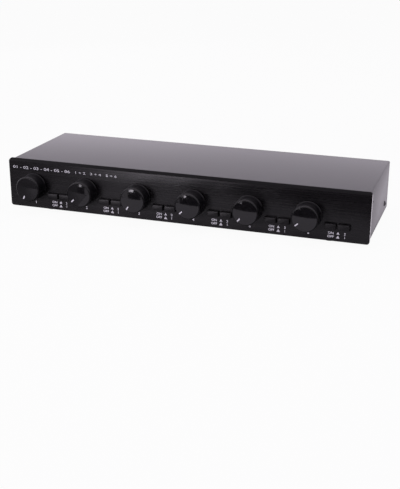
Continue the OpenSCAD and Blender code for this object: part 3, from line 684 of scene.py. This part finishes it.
def makeCover(look, finish):
    sheet, back = look["sheet"] * mm, coverHigh.y
    openSides = ((0, -1, 0), (0, 1, 0), (0, 0, -1))
    cover = addBox("case_cover", coverLow, coverHigh)
    pick(cover, "FACE", lambda face: any(faces(face, way) for way in openSides))
    bpy.ops.mesh.delete(type="FACE")
    bpy.ops.object.mode_set(mode="OBJECT")
    # both ends of the back turn inwards as flanges
    for side in (-1, 1):
        pick(cover, "EDGE", lambda edge: runsAlong(edge, "Z") and edge.verts[0].co.y > back - nearby
             and edge.verts[0].co.x * side > 0)
        inwards = {"value": (-side * look["flange"] * mm, 0, 0)}
        bpy.ops.mesh.extrude_edges_move(TRANSFORM_OT_translate=inwards)
        bpy.ops.object.mode_set(mode="OBJECT")
    roundEdges(cover, "Y", look["bend"] * mm, look["bendSteps"],
               lambda edge: min(point.co.z for point in edge.verts) > coverHigh.z - nearby)
    smoothShade(cover)
    finishWith(cover, "SOLIDIFY", thickness=sheet, offset=-1, use_even_offset=True)
    # the flange that the back panel is screwed to
    reach = coverHigh.x - look["inset"] * mm
    flange = addBox("screw_flange", (-reach, back - 2 * sheet, coverHigh.z - look["screwFlange"] * mm),
                    (reach, back - sheet, coverHigh.z - sheet / 2))
    cover = joinPieces("case_cover", [cover, flange])
    bevelCorners(cover, look["edge"] * mm, look["edgeAngle"])
    smoothShade(cover)
    dress(cover, "case", finish, ["cover"])


# The dome has the angles of its rings, and turns says how far each screw is turned. Painted shade, a dark
# colour for the shadow in the cross, goes on what lies under the dome and within the reach of the cross.
screwSettings = {"thread": 1.5, "threadEase": 0.3, "reach": 4.0, "head": 3.2, "headHeight": 1.8,
                 "headEase": 0.1, "headRim": 0.45, "dome": (12, 24, 36, 48, 60, 72, 84), "tip": 0.1,
                 "sides": 32, "smooth": 30, "recess": 1.3, "recessLong": 4.4, "recessDeep": 1.4,
                 "shadowUp": 0.3, "shadowDown": 0.15, "domeFall": 0.1, "turns": (12, 38, 65, 20, 50, 5)}


def makeScrews(look, nickel, black, shadow):
    thread, threadEase, reach = look["thread"], look["threadEase"], look["reach"]
    head, headEase, rim, high = look["head"], look["headEase"], look["headRim"], look["headHeight"]
    outline = [(thread - threadEase, -reach), (thread, -reach + threadEase), (thread, 0),
               (head - headEase, 0), (head, headEase), (head, rim)]
    domeTurns = [math.radians(degrees) for degrees in look["dome"]]
    outline += [(head * math.cos(t), rim + (high - rim) * math.sin(t)) for t in domeTurns]
    outline.append((look["tip"], high))
    screw = turnPiece("screw_model", [(r * mm, h * mm) for r, h in outline], look["sides"])
    long, wide, deep = look["recessLong"] / 2, look["recess"] / 2, high - look["recessDeep"]
    cutters = []
    for x, y in ((long, wide), (wide, long)):
        cutters.append(addBox("recess", (-x * mm, -y * mm, deep * mm), (x * mm, y * mm, 3 * high * mm)))
    cutAway(screw, cutters)
    smoothShade(screw, look["smooth"])

    def inRecess(face):
        middle = face.calc_center_median()
        across = middle.xy.length
        dome = (high - look["shadowDown"]) * mm - look["domeFall"] * across ** 2 / mm
        return look["shadowUp"] * mm < middle.z < dome and across < long * mm

    screw.data.materials.append(nickel)
    # the faces in the cross get the painted shade
    dressFaces(screw, shadow, inRecess)
    rear = []
    for (low, top), turn in zip(solidBoxes("rear_screws"), look["turns"]):
        middle = (low + top) / 2
        place = setAt((middle.x, panelBack, middle.z), -math.pi / 2, "X", math.radians(turn))
        rear.append(copyPiece(screw, "rear_screw", place))
    rear = joinPieces("rear_panel_screws", rear)
    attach(rear, "case")
    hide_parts("rear_screws")
    sides = []
    for (low, top), turn in zip(solidBoxes("side_screws"), look["turns"]):
        middle = (low + top) / 2
        way = 1 if middle.x > 0 else -1
        point = (way * coverHigh.x, middle.y, middle.z)
        place = setAt(point, way * math.pi / 2, "Y", math.radians(turn))
        sides.append(copyPiece(screw, "side_screw", place))
    dress(joinPieces("cover_side_screws", sides), "case", black, ["side_screws"])
    dropPiece(screw)


plugSettings = {"ways": 8, "pitch": 5.08, "shoulder": 11.5, "topBevel": 0.8, "topSteps": 3,
                "edge": 0.12, "edgeAngle": 40, "tongueIn": 1.4, "tongueHigh": 6.6, "tongueOverlap": 0.2,
                "wireWide": 3.4, "wireHigh": 3.8, "wireUp": 1.6, "wireDeep": 9.0, "wireCorner": 0.5,
                "wireSteps": 3, "driver": 1.65, "driverBack": 5.6, "driverDown": 2, "driverLong": 14,
                "driverSides": 24, "groove": 0.6, "grooveDeep": 0.5, "pinHole": 1.8}


# How far a way lies from its plug's middle
def wayShift(k):
    return (k - (plugSettings["ways"] - 1) / 2) * plugSettings["pitch"]


def makePlugs(look, finish):
    low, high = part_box(plugNodes[0])
    middle = (low.x + high.x) / 2
    shoulder = high.y - look["shoulder"] * mm
    plug = addBox("plug_model", (low.x, shoulder, low.z), high)
    roundEdges(plug, "X", look["topBevel"] * mm, look["topSteps"],
               lambda edge: edge.verts[0].co.y > high.y - nearby and edge.verts[0].co.z > high.z - nearby)
    inset = look["tongueIn"] * mm
    tongueBack = shoulder + look["tongueOverlap"] * mm
    tongue = addBox("tongue", (low.x + inset, low.y, low.z + inset),
                    (high.x - inset, tongueBack, low.z + inset + look["tongueHigh"] * mm))
    cutters, tongueCutters = [], []
    half, pin, slit = look["wireWide"] / 2 * mm, look["pinHole"] / 2 * mm, look["groove"] / 2 * mm
    holeMiddle = low.z + inset + look["tongueHigh"] / 2 * mm
    for k in range(look["ways"]):
        x = middle + wayShift(k) * mm
        wire = addBox("wire", (x - half, high.y - look["wireDeep"] * mm, low.z + look["wireUp"] * mm),
                      (x + half, high.y + mm, low.z + (look["wireUp"] + look["wireHigh"]) * mm))
        roundEdges(wire, "Y", look["wireCorner"] * mm, look["wireSteps"])
        cutters.append(wire)
        hole = (x, high.y - look["driverBack"] * mm, high.z - look["driverDown"] * mm)
        cutters.append(addRod("driver", hole, look["driver"] * mm, look["driverLong"] * mm, "Z",
                              look["driverSides"]))
        tongueCutters.append(addBox("pin", (x - pin, low.y - mm, holeMiddle - pin),
                                    (x + pin, shoulder - mm, holeMiddle + pin)))
        if k:
            split = x - look["pitch"] / 2 * mm
            cutters.append(addBox("groove", (split - slit, high.y - look["grooveDeep"] * mm, low.z - mm),
                                  (split + slit, high.y + mm, high.z + mm)))
    cutAway(plug, cutters)
    cutAway(tongue, tongueCutters)
    bevelCorners(plug, look["edge"] * mm, look["edgeAngle"])
    plug = joinPieces("plug_model", [plug, tongue])
    smoothShade(plug)
    for node, body in zip(plugNodes, plugBodies):
        place = Matrix.Translation(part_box(node)[0] - low)
        twin = copyPiece(plug, node.replace("plug", "block"), place)
        dress(twin, body, finish, [node])
    dropPiece(plug)


footSettings = {"hole": 1.55, "holeEase": 0.1, "recess": 3.8, "recessUp": 2.4, "recessEase": 0.2,
                "edge": 1.2, "edgeFrom": -90, "edgeTo": -8, "edgeSteps": 6, "taper": 1.0, "topEase": 0.3,
                "sides": 64, "weld": 0.15, "smooth": 40}


def makeFeet(look, finish):
    boxes = solidBoxes("rubber_feet")
    low, high = boxes[0]
    radius, height = (high.x - low.x) / 2 / mm, (high.z - low.z) / mm
    hole, recess, ease = look["hole"], look["recess"], look["recessEase"]
    outline = [(hole, height), (hole, look["recessUp"]), (recess, look["recessUp"]), (recess, ease),
               (recess + ease, 0)]
    edgeMiddle = (radius - look["taper"] - look["edge"], look["edge"])
    outline += arcPoints(edgeMiddle, look["edge"], look["edgeFrom"], look["edgeTo"], look["edgeSteps"])
    outline += [(radius, height - look["topEase"]), (radius - look["topEase"], height),
                (hole + look["holeEase"], height)]
    foot = turnPiece("foot_model", [(r * mm, h * mm) for r, h in outline], look["sides"])
    # the two discs that close the turned shape go, and its ends meet round the hole
    pick(foot, "FACE", lambda face: len(face.verts) == look["sides"])
    bpy.ops.mesh.delete(type="FACE")
    bpy.ops.mesh.select_all(action="SELECT")
    bpy.ops.mesh.remove_doubles(threshold=look["weld"] * mm)
    bpy.ops.object.mode_set(mode="OBJECT")
    smoothShade(foot, look["smooth"])
    feet = []
    for low, high in boxes:
        middle = (low + high) / 2
        feet.append(copyPiece(foot, "foot", Matrix.Translation((middle.x, middle.y, low.z))))
    dress(joinPieces("foot_pads", feet), "case", finish, ["rubber_feet"])
    dropPiece(foot)


# A capital letter is size high, and the font's own size is fontSize times that
inkSettings = {"thick": 0.03, "sink": 0.01, "bold": 0.03, "fontSize": 1.38, "curveSteps": 3}


# Stands a flat shape, drawn in x and y with its face up, on the front (or the back) at x and height
def standPrint(piece, x, height, back=False):
    turn = Matrix.Rotation(math.pi, 4, "Z") if back else Matrix.Identity(4)
    depth = panelBack - inkSettings["sink"] * mm if back else plateFront + inkSettings["sink"] * mm
    place = Matrix.Translation((x * mm, depth, plateFoot + height * mm))
    piece.data.transform(place @ turn @ Matrix.Rotation(math.pi / 2, 4, "X"))
    return piece


def printWords(text, x, height, size, width=None, back=False, bold=True):
    clearSelection()
    bpy.ops.object.text_add(location=(0, 0, 0))
    words = bpy.context.object
    words.data.body = text
    words.data.size = size * mm * inkSettings["fontSize"]
    words.data.align_x, words.data.align_y = "CENTER", "CENTER"
    words.data.extrude = inkSettings["thick"] / 2 * mm
    words.data.offset = size * inkSettings["bold"] * mm if bold else 0
    words.data.resolution_u = inkSettings["curveSteps"]
    workOn(words)
    bpy.ops.object.convert(target="MESH")
    words = fixPlace(bpy.context.object, "words")
    across = [point.co.x for point in words.data.vertices]
    up = [point.co.y for point in words.data.vertices]
    stretch = width * mm / (max(across) - min(across)) if width else 1
    centre = Matrix.Translation((-(max(across) + min(across)) / 2, -(max(up) + min(up)) / 2, 0))
    lift = Matrix.Translation((0, 0, inkSettings["thick"] / 2 * mm))
    words.data.transform(lift @ Matrix.Diagonal((stretch, 1, 1, 1)) @ centre)
    return standPrint(words, x, height, back)


def printBar(x, height, width, tall, back=False):
    bar = addBox("bar", (-width / 2 * mm, -tall / 2 * mm, 0),
                 (width / 2 * mm, tall / 2 * mm, inkSettings["thick"] * mm))
    return standPrint(bar, x, height, back)


def printTriangle(x, height, radius):
    clearSelection()
    bpy.ops.mesh.primitive_cylinder_add(vertices=3, radius=radius * mm, depth=inkSettings["thick"] * mm,
                                        location=(0, 0, inkSettings["thick"] / 2 * mm))
    return standPrint(fixPlace(bpy.context.object, "triangle"), x, height)


# What is printed at every knob counts to the right from its middle. A title has its words, its
# middle's x, its letters' size and its width.
frontPrint = {"numberRight": 0.8, "numberUp": 6.6, "numberSize": 3.2, "onOffRight": 25.5, "onWide": 6.2,
              "offWide": 7.0, "rowUp": 9.1, "rowDown": 5.1, "wordSize": 2.7, "iconRight": 33.4,
              "upperIcon": 1.9, "upperIconDrop": 0.2, "lowerIcon": 1.7, "barDrop": 1.3, "barWide": 3.6,
              "barTall": 0.8, "sourceRight": 40.8, "titleUp": 48.0,
              "titles": (("01 - 02 - 03 - 04 - 05 - 06", -172.8, 3.4, 74),
                         ("1 + 2   3 + 4   5 + 6", -102.5, 2.8, 52))}


def printFront(look, ink):
    marks = []
    up, down, size = look["rowUp"], look["rowDown"], look["wordSize"]
    for i in zones:
        low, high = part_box(f"knob_{i}")
        x = (low.x + high.x) / 2 / mm
        onOff, icon, source = x + look["onOffRight"], x + look["iconRight"], x + look["sourceRight"]
        marks.append(printWords(str(i), x + look["numberRight"], look["numberUp"], look["numberSize"]))
        marks.append(printWords("ON", onOff, up, size, look["onWide"]))
        marks.append(printWords("OFF", onOff, down, size, look["offWide"]))
        marks.append(printWords("2", source, up, size))
        marks.append(printWords("1", source, down, size))
        marks.append(printTriangle(icon, up - look["upperIconDrop"], look["upperIcon"]))
        marks.append(printTriangle(icon, down, look["lowerIcon"]))
        marks.append(printBar(icon, down - look["barDrop"], look["barWide"], look["barTall"]))
    for text, x, size, width in look["titles"]:
        marks.append(printWords(text, x, look["titleUp"], size, width, bold=False))
    dress(joinPieces("front_printing", marks), "case", ink)


# Over every plug stand a sign for each way and two brackets with their numbers, which count from the
# plug's middle. The bars beside the titles have the x where they start and end.
rearPrint = {"signUp": 26.2, "signSize": 1.9, "stroke": 0.5, "plusWays": (0, 3, 4, 7), "bracketUp": 28.6,
             "bracketOut": 10.2, "bracketWide": 17.5, "bracketLine": 0.35, "endOut": 8.6, "endDrop": 0.5,
             "endTall": 1.2, "numberUp": 31.0, "numberSize": 2.2, "barUp": 36.4, "barTall": 2.2,
             "bars": ((107.7, 180.9), (-22.9, 49.4), (-149.5, -139.3), (-181.5, -171.8)),
             "titleSize": 3.4, "titles": (("01 - 02 - 03 - 04 - 05 - 06", 78.9, 52),
                                          ("01 - 02", -160.6, 16.5))}


def printBack(look, ink):
    marks = []
    signUp, size, stroke = look["signUp"], look["signSize"], look["stroke"]
    bracketUp, out, line = look["bracketUp"], look["bracketOut"], look["bracketLine"]
    for number, node in enumerate(plugNodes):
        low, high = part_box(node)
        x = (low.x + high.x) / 2 / mm
        for k in range(plugSettings["ways"]):
            marks.append(printBar(x + wayShift(k), signUp, size, stroke, True))
            if k in look["plusWays"]:
                marks.append(printBar(x + wayShift(k), signUp, stroke, size, True))
        for half in (-1, 1):
            marks.append(printBar(x + half * out, bracketUp, look["bracketWide"], line, True))
            for end in (-1, 1):
                marks.append(printBar(x + half * out + end * look["endOut"], bracketUp - look["endDrop"],
                                      line, look["endTall"], True))
        first = 1 if node == "input_plug" else 2 * number + 1
        for shift, text in ((out, str(first)), (-out, str(first + 1))):
            marks.append(printWords(text, x + shift, look["numberUp"], look["numberSize"], back=True))
    for start, end in look["bars"]:
        marks.append(printBar((start + end) / 2, look["barUp"], end - start, look["barTall"], True))
    for text, x, width in look["titles"]:
        marks.append(printWords(text, x, look["barUp"], look["titleSize"], width, True))
    dress(joinPieces("rear_printing", marks), "case", ink)


# The four corner marks are what two crossing cuts leave of a rounded ring
cornerSettings = {"x": -80, "up": 22.7, "wide": 47.1, "tall": 18.6, "line": 0.7, "corner": 3.2,
                  "innerCorner": 2.5, "cornerSteps": 6, "legWide": 6, "legTall": 5.5, "cutWide": 40,
                  "cutTall": 20}


def printCorners(look, ink):
    wide, tall, thick = look["wide"] / 2, look["tall"] / 2, inkSettings["thick"] * mm
    marks = addBox("corner_marks", (-wide * mm, -tall * mm, 0), (wide * mm, tall * mm, thick))
    roundEdges(marks, "Z", look["corner"] * mm, look["cornerSteps"])

    def cutter(name, x, y):
        return addBox(name, (-x * mm, -y * mm, -thick), (x * mm, y * mm, 2 * thick))

    inner = cutter("inner", wide - look["line"], tall - look["line"])
    roundEdges(inner, "Z", look["innerCorner"] * mm, look["cornerSteps"])
    cutAway(marks, [inner])
    cutAway(marks, [cutter("gap", wide - look["legWide"], look["cutTall"])])
    cutAway(marks, [cutter("gap", look["cutWide"], tall - look["legTall"])])
    dress(standPrint(marks, look["x"], look["up"], True), "case", ink)


bpy.context.scene.view_settings.view_transform = "Standard"
placeCamera(cameraSettings)
placeLamps(lampSettings)
placeFloor(stageSettings)
placeWorld(stageSettings)
placeCard(cardSettings, spotSettings)
placeBoards(boardSettings, boardHeights)
print("stage ready")

materials = {name: makeFinish(name, look) for name, look in finishes.items()}
print("materials ready:", len(materials))

makePlate(plateSettings, materials["brushed_plate"], materials["shaded_plate_top"])
print("front plate ready")
makeKnobs(knobSettings, materials["knob_side"], materials["knob_plastic"], materials["white_print"])
print("knobs ready")
makeCaps(capSettings, materials["cap_plastic"])
print("caps ready")
makeCover(coverSettings, materials["textured_paint"])
print("cover ready")
makeScrews(screwSettings, materials["nickel"], materials["black_screw"], materials["painted_recess_shade"])
print("screws ready")
makePlugs(plugSettings, materials["plug_plastic"])
print("plugs ready")
makeFeet(footSettings, materials["rubber"])
print("feet ready")
printFront(frontPrint, materials["white_print"])
printBack(rearPrint, materials["white_print"])
printCorners(cornerSettings, materials["grey_print"])
print("printing ready")

for node, (finish, slot) in keptNodes.items():
    kept = frame["nodes"][node]
    kept.data.materials.clear()
    kept.data.materials.append(materials[finish])
print("kept nodes dressed:", len(keptNodes))
